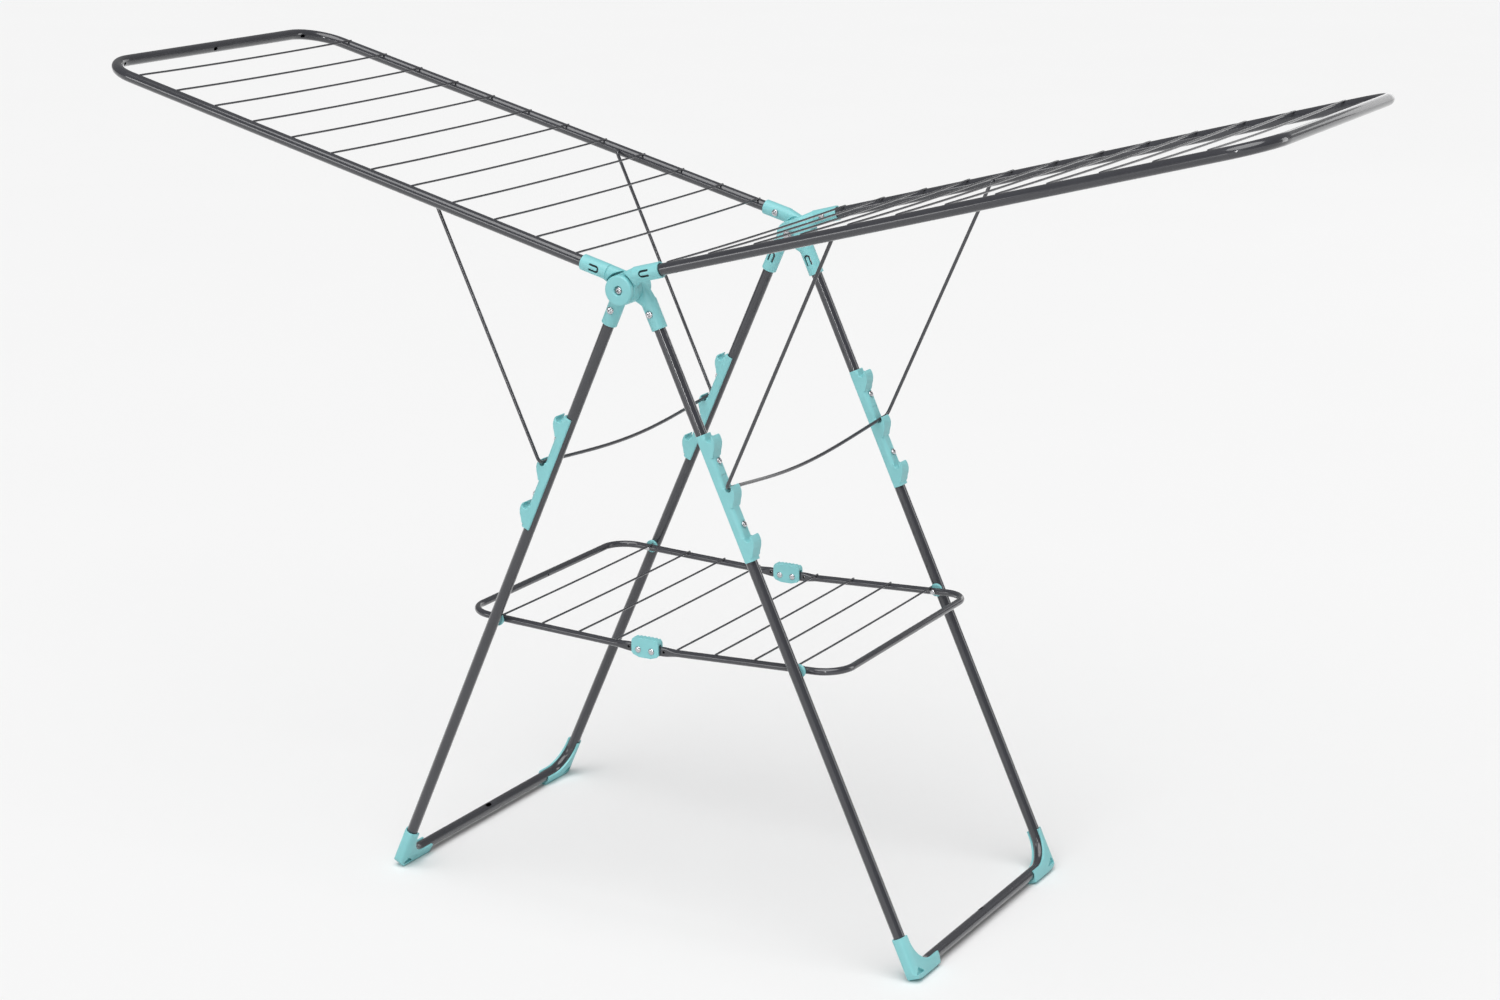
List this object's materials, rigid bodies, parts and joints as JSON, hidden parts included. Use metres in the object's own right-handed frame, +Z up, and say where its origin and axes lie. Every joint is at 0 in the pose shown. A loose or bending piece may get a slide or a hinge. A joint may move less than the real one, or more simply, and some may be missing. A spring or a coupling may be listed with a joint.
{
  "type": "clothes drying rack",
  "caption": "Free-standing folding clothes airer: crossed U-tube legs, two raised wings strung with wires, a folding wire shelf and notched wing struts.",
  "frame": {"origin": "on the floor, under the middle of the hub axis, half-way between the front and back hubs", "axes": "+X to the right along the length over both wings, +Y to the back along the wires and the hub axis, +Z up"},
  "size_m": [1.768, 0.5172, 1.1597],
  "materials": {
    "frame": "glossy dark grey powder coat",
    "plastic": "satin turquoise moulding",
    "screws": "bright plated steel"
  },
  "bodies": {
    "left_leg": {"left_leg_frame": "frame", "left_front_foot": "plastic", "left_front_notch_bracket": "plastic", "left_front_bracket_screw_1": "screws", "left_front_bracket_screw_2": "screws", "left_front_leg_hub_arm": "plastic", "left_front_leg_arm_screw": "screws", "left_front_shelf_bush": "plastic", "left_front_shelf_pivot_rivet": "screws", "left_back_foot": "plastic", "left_back_notch_bracket": "plastic", "left_back_bracket_screw_1": "screws", "left_back_bracket_screw_2": "screws", "left_back_leg_hub_arm": "plastic", "left_back_leg_arm_screw": "screws", "left_back_shelf_bush": "plastic", "left_back_shelf_pivot_rivet": "screws", "front_hub_cap": "plastic", "front_hub_bolt": "screws", "front_hub_nut": "screws", "back_hub_cap": "plastic", "back_hub_bolt": "screws", "back_hub_nut": "screws"},
    "right_leg": {"right_leg_frame": "frame", "right_front_foot": "plastic", "right_front_notch_bracket": "plastic", "right_front_bracket_screw_1": "screws", "right_front_bracket_screw_2": "screws", "right_front_leg_hub_arm": "plastic", "right_front_leg_arm_screw": "screws", "right_front_shelf_bush": "plastic", "right_back_foot": "plastic", "right_back_notch_bracket": "plastic", "right_back_bracket_screw_1": "screws", "right_back_bracket_screw_2": "screws", "right_back_leg_hub_arm": "plastic", "right_back_leg_arm_screw": "screws", "right_back_shelf_bush": "plastic"},
    "left_wing": {"left_wing_frame": "frame", "left_front_wing_hub_arm": "plastic", "left_front_wing_arm_screw": "screws", "left_back_wing_hub_arm": "plastic", "left_back_wing_arm_screw": "screws"},
    "right_wing": {"right_wing_frame": "frame", "right_front_wing_hub_arm": "plastic", "right_front_wing_arm_screw": "screws", "right_back_wing_hub_arm": "plastic", "right_back_wing_arm_screw": "screws"},
    "left_strut": {"left_strut": "frame"},
    "right_strut": {"right_strut": "frame"},
    "left_shelf": {"left_shelf_frame": "frame"},
    "shelf_link": {"front_shelf_link": "plastic", "front_left_link_rivet": "screws", "front_right_link_rivet": "screws", "back_shelf_link": "plastic", "back_left_link_rivet": "screws", "back_right_link_rivet": "screws"},
    "right_shelf": {"right_shelf_frame": "frame", "right_front_shelf_pivot_rivet": "screws", "right_back_shelf_pivot_rivet": "screws"}
  },
  "joints": [
    {"name": "leg_fold", "type": "hinge", "parent": "left_leg", "child": "right_leg", "pos_m": [0, 0, 0.904], "axis": [0, 1, 0], "range_deg": [0, 46.5]},
    {"name": "right_wing_fold", "type": "hinge", "parent": "right_leg", "child": "right_wing", "pos_m": [0, 0, 0.904], "axis": [0, 1, 0], "range_deg": [0, 74.5]},
    {"name": "left_wing_fold", "type": "hinge", "parent": "left_leg", "child": "left_wing", "pos_m": [0, 0, 0.904], "axis": [0, -1, 0], "range_deg": [0, 74.5]},
    {"name": "right_strut_swing", "type": "hinge", "parent": "right_wing", "child": "right_strut", "pos_m": [0.30738, 0, 1.00111], "axis": [0, -1, 0], "range_deg": [0, 129.34]},
    {"name": "left_strut_swing", "type": "hinge", "parent": "left_wing", "child": "left_strut", "pos_m": [-0.30738, 0, 1.00111], "axis": [0, 1, 0], "range_deg": [0, 129.34]},
    {"name": "left_shelf_fold", "type": "hinge", "parent": "left_leg", "child": "left_shelf", "pos_m": [-0.24124, 0, 0.40399], "axis": [0, -1, 0], "range_deg": [0, 65.71]},
    {"name": "shelf_link_fold", "type": "hinge", "parent": "left_shelf", "child": "shelf_link", "pos_m": [-0.0105, 0, 0.3945], "axis": [0, 1, 0], "range_deg": [0, 88.96]},
    {"name": "right_shelf_fold", "type": "hinge", "parent": "shelf_link", "child": "right_shelf", "pos_m": [0.0105, 0, 0.3945], "axis": [0, 1, 0], "range_deg": [0, 88.96]}
  ],
  "couplings": [
    {"joint": "right_strut_swing", "follows": "right_wing_fold", "ratio": 1.7359},
    {"joint": "left_strut_swing", "follows": "left_wing_fold", "ratio": 1.7359},
    {"joint": "left_shelf_fold", "follows": "leg_fold", "ratio": 1.4126},
    {"joint": "shelf_link_fold", "follows": "leg_fold", "ratio": 1.9126},
    {"joint": "right_shelf_fold", "follows": "leg_fold", "ratio": 1.9126}
  ]
}
